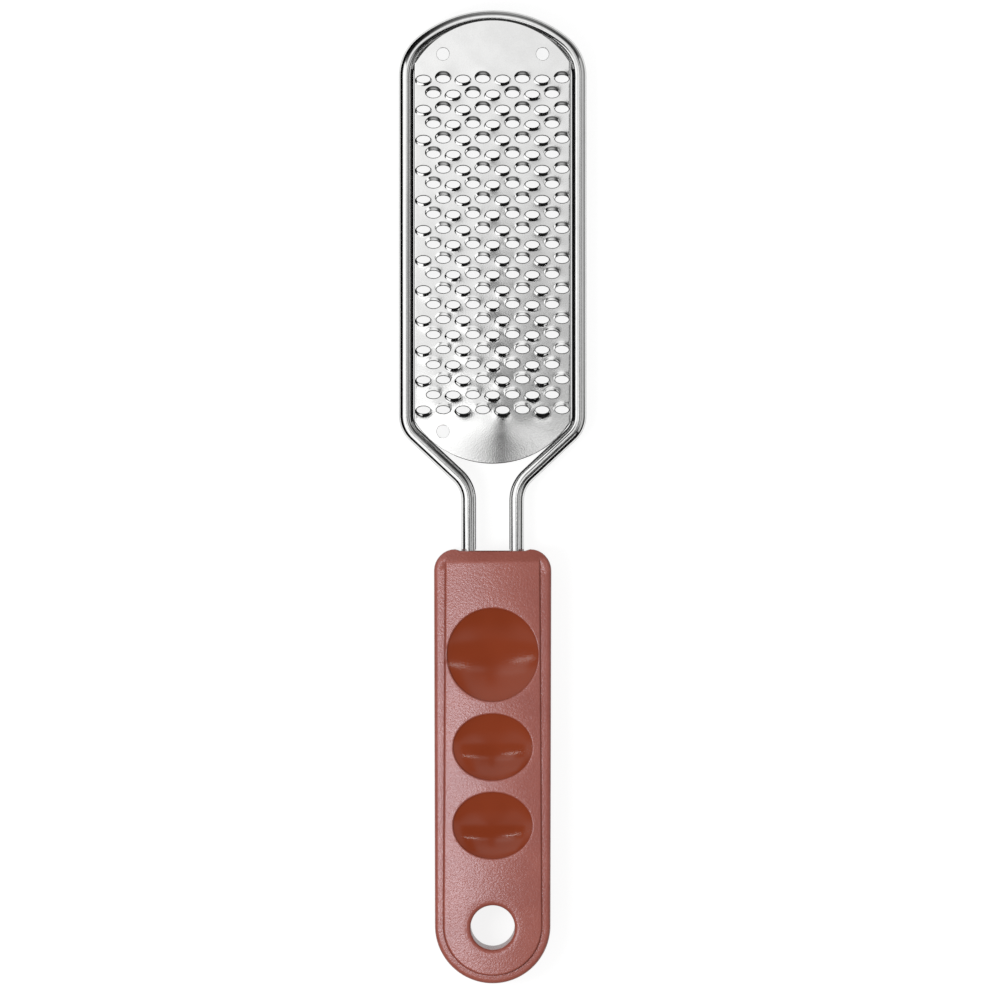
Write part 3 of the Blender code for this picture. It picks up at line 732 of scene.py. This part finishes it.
def skin_patches():
    """The skin: a flat back, round edges, a flat rim, a crease that fades out in the bevel, and a
    raised front with a window over each dish, and inside it the space of the core."""
    table = [(BACK_ROUND * (1 - math.sin(a)),) * 3 + (BACK_ROUND * (1 - math.cos(a)),) * 2 for a in QUARTER]
    for a in QUARTER:
        z = RIM_Z - FRONT_ROUND * (1 - math.sin(a))
        table.append((*[inset * (1 - math.cos(a)) for inset in ROUND_INSETS], z, z))
    table += [(*insets, RIM_Z + z, RIM_Z + z_top) for *insets, z, z_top in CREASE]
    rings = []
    for side, top, end, z, z_top in table:
        line, bevel = handle_loop(side, top, end, MOUTH_DEPTH)
        rings.append(at_height(line, np.minimum(z + (z_top - z) * bevel, front_z(line))))
    for side, top, end, below, dip in PANEL_EDGE:
        line, bevel = handle_loop(side, top, end, dip * MOUTH_DEPTH)
        rings.append(at_height(line, front_z(line) - below * (1 - bevel)))
    inner = handle_loop(SKIN, SKIN, SKIN)[0]
    back = handle_loop(BACK_ROUND, BACK_ROUND, BACK_ROUND, MOUTH_DEPTH)[0]
    patches = [patch(np.stack(rings))]
    patches.append(patch(np.stack([at_height(inner, CAVITY_TOP), at_height(inner, CAVITY_LOW)])))
    hang_cell, *dish_cells = zip(cells(line), cells(inner), cells(back))
    patches += hang_hole_patches(*hang_cell)
    for cell, dish in zip(dish_cells, DISHES):
        patches += window_patches(*cell, dish)
    return patches


def core_patches():
    """The core: a plain body inside the skin, with an oval boss under each window and a dish in
    the top of each boss, part of an oval ball: at this share of the way out, the floor rises with
    1 less the root of (1 - curve * share squared)."""
    inset = SKIN + CORE_GAP
    low, high = inset, RIM_Z - inset
    line = handle_loop(inset, inset, inset)[0]
    rest = math.sqrt(1 - DISH_CURVE)
    floor_z = PANEL_Z - DISH_DEPTH
    patches = [patch(np.stack([at_height(line, low), at_height(line, high)]))]
    hang_cell, *dish_cells = cells(line)
    patches.append(passage_patch(hang_cell, HANG_RADIUS + LINING + CORE_GAP, high, low))
    for outline, (half_x, half_y, middle_y) in zip(dish_cells, DISHES):
        oval = oval_line(outline, half_x + DISH_LAP, half_y + DISH_LAP, middle_y)
        rim_z = front_z(oval) - DISH_STEP - DISH_EDGE
        rings = [at_height(outline, high), at_height(oval, high)]
        middle = np.array([0, middle_y])
        for share in np.linspace(1, 0, DISH_RINGS):
            fall = (math.sqrt(1 - DISH_CURVE * share**2) - rest) / (1 - rest)
            rings.append(at_height(middle + share * (oval - middle), rim_z + (floor_z - rim_z) * fall))
        patches += [patch(np.stack(rings)), fill_patch(outline, low)]
    return patches


core_finish, shader, start = new_finish("smooth_brown_finish", 0.2, 0.0, Specular_IOR_Level=0.35)
cloud = pattern(start, 60, detail=2)
feed(shader, "Base Color", cloud.spread().blend(*CORE_COLOURS))
feed(shader, "Roughness", 0.09 + 0.03 * cloud)
core = add_piece("smooth_core", core_patches(), [core_finish], "handle_core", 40)

gloss = {"Specular_IOR_Level": 0.8, "Specular_Tint": SKIN_TINT}
skin_finish, shader, start = new_finish("grained_brown_finish", 0.42, 0.0, **gloss)
grain = pattern(start, 1800, detail=3, rough=0.6)
cloud = pattern(start, 80, detail=3)
feed(shader, "Base Color", (grain * 0.5 + cloud * 0.5).spread().blend(*SKIN_COLOURS))
feed(shader, "Roughness", 0.26 + 0.10 * grain)
feed(shader, "Normal", relief(start, grain, 0.7, 0.00013))
skin = add_piece("grained_skin", skin_patches(), [skin_finish], "handle_grip", 40)

# Floor. A wide, plain pale sheet that the tool lies on. It keeps the tool's shadow, and the rays
# that see the background, straight or by way of polished metal, find it nearly white.
FLOOR_HALF = 12.0
FLOOR_COLOUR = 0.24
FLOOR_LIFT = 0.86


def stage_mesh(name, points, faces, finish):
    mesh = bpy.data.meshes.new(name)
    mesh.from_pydata(points.tolist(), [], faces.tolist())
    mesh.shade_smooth()
    mesh.materials.append(finish)
    made = bpy.data.objects.new(name, mesh)
    bpy.context.scene.collection.objects.link(made)
    return made


def seen_directly(start):
    """1 for the rays that see the background: from the camera, or by way of metal or glass."""
    path = start.tree.nodes.new("ShaderNodeLightPath")
    kinds = ("Camera", "Glossy", "Transmission")
    rays = [Signal(start.tree, path.outputs[f"Is {kind} Ray"]) for kind in kinds]
    return start.math("MINIMUM", rays[0] + rays[1] + rays[2], 1)


floor_finish, shader, start = new_finish("floor_finish", 0.9, 0.0, Specular_IOR_Level=0.0)
shader.inputs["Base Color"].default_value = (FLOOR_COLOUR, FLOOR_COLOUR, FLOOR_COLOUR, 1)
shader.inputs["Emission Color"].default_value = (1, 1, 1, 1)
feed(shader, "Emission Strength", seen_directly(start) * FLOOR_LIFT)
corners = np.array([[-1, -1, 0], [1, -1, 0], [1, 1, 0], [-1, 1, 0]]) * FLOOR_HALF
stage_mesh("floor", corners, np.array([[0, 1, 2, 3]]), floor_finish)

# Light tent. A dome of soft light round the tool that the polished pieces see and that lights
# nothing else. In each of eight directions its light changes with the angle from straight up: a
# bright crown, and then the darker gaps and screens of a studio table. Angles are in degrees.
TENT_RADIUS = 6.0
DEGREES = 180 / math.pi
LIGHT_TOP = 1.2
DIRECTION_BLEND = (10, 35)
LIGHTS = {
    0: (
        (14, 0.75), (22, 0.55), (30, 0.6), (33, 0.5), (37, 0.08),
        (48, 0.08), (54, 0.6), (75, 0.24), (90, 0.2),
    ),
    45: ((14, 0.8), (20, 0.8), (28, 0.4), (33, 0.05), (90, 0.03)),
    90: ((14, 1.1), (26, 1.1), (36, 0.5), (48, 0.28), (60, 0.14), (72, 0.05)),
    135: ((14, 0.8), (20, 0.6), (28, 0.1), (33, 0.01)),
    180: ((15, 0.8), (25, 0.9), (40, 0.9), (52, 0.6), (60, 0.01)),
    225: ((15, 0.5), (19, 0.5), (24, 0.2), (30, 0.02), (40, 0.01)),
    270: ((14, 0.2), (20, 0.02), (60, 0.01)),
    315: ((12, 0.8), (17, 0.5), (22, 0.04), (29, 0.01), (50, 0.01)),
}


def new_glow(name):
    """A material that only shines, seen by polished surfaces and lighting nothing: the material,
    the signal to start from, and the signals of its place."""
    finish = bpy.data.materials.new(name)
    finish.use_nodes = True
    finish.cycles.emission_sampling = "NONE"
    tree = finish.node_tree
    tree.nodes.clear()
    place = tree.nodes.new("ShaderNodeTexCoord").outputs["Object"]
    split = tree.nodes.new("ShaderNodeSeparateXYZ")
    tree.links.new(place, split.inputs[0])
    return finish, Signal(tree), [Signal(tree, split.outputs[i]) for i in range(3)]


def set_glow(start, light, share=1.0):
    """Shines this strongly, and lets rays through where its share is below 1."""
    glow = start.node("ShaderNodeEmission", {"Strength": light}, output="Emission")
    clear = start.node("ShaderNodeBsdfTransparent")
    shade = start.node("ShaderNodeMixShader", {0: share, 1: clear, 2: glow})
    start.node("ShaderNodeOutputMaterial", {"Surface": shade}, output=None)


def reflected_only(piece):
    for ray in ("camera", "diffuse", "shadow", "transmission"):
        setattr(piece, f"visible_{ray}", False)


tent_finish, start, (x, y, z) = new_glow("tent_finish")
fall = start.math("ARCTAN2", start.math("SQRT", x * x + y * y), z)
azimuth = start.math("ARCTAN2", y, x)
light = 0.0
for direction, stops in LIGHTS.items():
    stops = [(angle / 90, (glow / LIGHT_TOP,) * 3) for angle, glow in stops]
    ramp = start.node("ShaderNodeValToRGB", {"Fac": fall * (DEGREES / 90)}, output="Color", stops=stops)
    off = start.math("ARCCOSINE", start.math("COSINE", azimuth - direction / DEGREES)) * DEGREES
    light = light + ramp * (1 - off.step(*DIRECTION_BLEND)) * LIGHT_TOP
set_glow(start, light)
lift, turn = np.meshgrid(np.linspace(0, np.pi / 2, 33), np.linspace(0, 2 * np.pi, 97), indexing="ij")
dome = np.stack([np.cos(lift) * np.cos(turn), np.cos(lift) * np.sin(turn), np.sin(lift)], axis=-1)
reflected_only(stage_mesh("light_tent", *patch(TENT_RADIUS * dome, closed=False), tent_finish))

# Cards. Three lit cards stand beside the tool, left, right and by its shoulder, and give the rod
# the bright lines along its sides. Each has the line that it stands on, its lower and upper
# height, and its light.
CARDS = {
    "left_card": (((-0.045, 0.125), (-0.045, 0.004), (-0.026, -0.020)), (0.0257, 0.110), 1.25),
    "right_card": (((0.045, 0.128), (0.045, 0.004)), (0.016, 0.034), 0.6),
    "shoulder_card": (((0.047, -0.001), (0.026, -0.022)), (0.036, 0.047), 0.9),
}

for name, (foot, heights, glow) in CARDS.items():
    finish, start, place = new_glow(f"{name}_finish")
    set_glow(start, glow)
    card = np.stack([at_height(np.array(foot), height) for height in heights])
    reflected_only(stage_mesh(name, *patch(card, closed=False), finish))

# Shade. A dark sheet on the floor inside the hoop, which only the polished pieces see, darkens the
# inner sides of the rod.
SHADE_LIGHT = 0.05
SHADE_Z = 0.0005

shade_finish, start, place = new_glow("shade_finish")
set_glow(start, SHADE_LIGHT)
hoop_line = rod_line()
hoop_line = hoop_line[hoop_line[:, 1] > HANDLE_TOP_Y]
mouth = np.array([[LEG_X, HANDLE_TOP_Y], [-LEG_X, HANDLE_TOP_Y]])
shade_line = np.concatenate([mouth[:1], hoop_line, mouth[1:]])
shade_face = np.arange(len(shade_line))[None]
reflected_only(stage_mesh("under_shade", at_height(shade_line, SHADE_Z), shade_face, shade_finish))

# Light panel. A lit panel high over the tool, which the plate mirrors: bright over most of the
# plate, with the dark wedge, the lit neck and the softer shades that a real one shows. Its shapes
# are bands across and along the tool, in degrees from straight up: low, high and soft width.
LIGHT_PANEL_Z = 0.55
LIGHT_PANEL_SPAN = ((-0.18, 0.18), (-0.15, 0.25))
LIGHT_PANEL_FADE = ((-14, 14, 3), (-11, 20, 3))
DARK_LIGHT = 0.02
MAIN_LIGHT = (0.94, (-24, 6.5, 4), (4, 30, 5))
MIDDLE_DROP = (0.10, -4, -2.5)
TIP_GAIN = (0.09, 11, 15)
NECK_LIGHTS = (
    (1.10, (-8, -2.6, 3), (-2.5, 2, 2.5)),
    (1.10, (2.0, 6.2, 1.2), (-0.4, 1.5, 0.7)),
)
SHADES = (
    (0.85, (-0.6, 1.4, 0.9), (2.4, 5, 9)),
    (0.45, (1.6, 3.4, 0.8), (2.2, 4, 0.8)),
    (0.45, (3.4, 4.2, 0.7), (2.2, 7, 0.8)),
    (0.20, (3.4, 12, 0.8), (3, 8, 4)),
    (0.90, (-2.6, 9, 2), (-7, -2.4, 1.8)),
)


def band(angle, low, high, soft):
    """1 between these two angles, fading to 0 within the soft width beyond them."""
    return angle.step(low - soft, low) * (1 - angle.step(high, high + soft))


panel_finish, start, (x, y, z) = new_glow("panel_finish")
across = start.math("ARCTAN2", x, z) * DEGREES
along = start.math("ARCTAN2", y, z) * DEGREES
strength, wide, long = MAIN_LIGHT
drop, *drop_angles = MIDDLE_DROP
gain, *gain_angles = TIP_GAIN
light = (strength - drop * across.step(*drop_angles)) * band(across, *wide) * band(along, *long)
light = DARK_LIGHT + light + gain * along.step(*gain_angles)
for strength, wide, long in NECK_LIGHTS:
    light = light + strength * band(across, *wide) * band(along, *long)
for strength, wide, long in SHADES:
    light = light - strength * light * band(across, *wide) * band(along, *long)
set_glow(start, light, band(across, *LIGHT_PANEL_FADE[0]) * band(along, *LIGHT_PANEL_FADE[1]))
spans = np.meshgrid(*LIGHT_PANEL_SPAN, indexing="ij")
corners = at_height(np.stack(spans, axis=-1), LIGHT_PANEL_Z)
reflected_only(stage_mesh("light_panel", *patch(corners, closed=False), panel_finish))

# Dark fence. A low, dark screen round the tool, a little lighter at its right and behind the tip,
# gives the polished rod its dark outer line.
FENCE_HALF = (0.050, 0.150)
FENCE_SHAPE = 0.35
FENCE_SPAN = (0.0005, 0.017)
FENCE_RIGHT_LIGHT = 0.30
FENCE_TIP_LIGHT = 0.36

fence_finish, start, (x, y, z) = new_glow("fence_finish")
behind = y.step(0.13, 0.147) * x.step(-0.04, 0.01)
right = FENCE_RIGHT_LIGHT * x.step(0.02, 0.049) * y.step(0.0, 0.04) * (1 - behind)
set_glow(start, right + FENCE_TIP_LIGHT * behind)
turn = np.linspace(0, 2 * np.pi, 97)[:-1]
circle = np.stack([np.cos(turn), np.sin(turn)], axis=1)
fence_line = np.abs(circle) ** FENCE_SHAPE * (np.sign(circle) * FENCE_HALF)
fence = np.stack([at_height(fence_line, z) for z in FENCE_SPAN])
reflected_only(stage_mesh("dark_fence", *patch(fence), fence_finish))

# World. Even light from all round. It lights the tool at a plain level, and it is plain white to
# the rays that see the background.
WORLD_LIGHT = 0.65

world = bpy.data.worlds.new("studio")
bpy.context.scene.world = world
world.use_nodes = True
start = Signal(world.node_tree)
background = world.node_tree.nodes["Background"]
background.inputs["Color"].default_value = (1, 1, 1, 1)
feed(background, "Strength", seen_directly(start) * (1 - WORLD_LIGHT) + WORLD_LIGHT)

# Lamps. A wide soft lamp stands to the left of the handle, a smaller one beside it gives the skin
# its sheen, and two thin strips high over the tool draw the fine bright lines in the dishes.
LAMPS = {
    "left_lamp": ((-0.20, -0.075, 0.42), (0, -0.07, 0.01), (0.10, 0.16), 0.7, 0),
    "sheen_lamp": ((-0.100, -0.112, 0.42), (0, -0.085, 0.014), (0.06, 0.06), 0.6, 0),
    "left_strip": ((-0.074, -0.037, 0.485), (0, -0.077, 0.014), (0.065, 0.005), 0.016, -52),
    "right_strip": ((0.084, -0.008, 0.485), (0, -0.077, 0.014), (0.065, 0.005), 0.016, 52),
}


def add_lamp(name, place, target, size, power, turn):
    """A soft rectangular lamp, unseen by the camera, that faces a point on the tool. The turn, in
    degrees, is about the line between them."""
    light = bpy.data.lights.new(name, "AREA")
    light.shape = "RECTANGLE"
    light.size, light.size_y = size
    light.energy = power
    made = bpy.data.objects.new(name, light)
    bpy.context.scene.collection.objects.link(made)
    made.location = place
    facing = (Vector(place) - Vector(target)).to_track_quat("Z", "Y")
    made.rotation_euler = (facing @ Quaternion((0, 0, 1), math.radians(turn))).to_euler()
    made.visible_camera = False
    return made


def light_only(lamp, piece):
    """Has the lamp light this piece alone."""
    group = bpy.data.collections.new(f"{lamp.name}_pieces")
    group.objects.link(piece)
    lamp.light_linking.receiver_collection = group


lamps = {name: add_lamp(name, *values) for name, values in LAMPS.items()}
lamps["left_lamp"].visible_glossy = False
light_only(lamps["sheen_lamp"], skin)
light_only(lamps["left_strip"], core)
light_only(lamps["right_strip"], core)

# Camera. A long lens looks straight down on the tool, as in the photograph.
CAMERA_DISTANCE = 1.5
VIEW_WIDTH = 0.26741
VIEW_MIDDLE = (0.00195, -0.00111)
VIEW_HEIGHT = 0.009

camera_data = bpy.data.cameras.new("camera")
camera_data.sensor_width = 36.0
camera_data.lens = camera_data.sensor_width * CAMERA_DISTANCE / VIEW_WIDTH
camera_data.clip_end = 50.0
camera = bpy.data.objects.new("camera", camera_data)
bpy.context.scene.collection.objects.link(camera)
camera.location = (*VIEW_MIDDLE, VIEW_HEIGHT + CAMERA_DISTANCE)
bpy.context.scene.camera = camera
bpy.context.scene.view_settings.view_transform = "Standard"
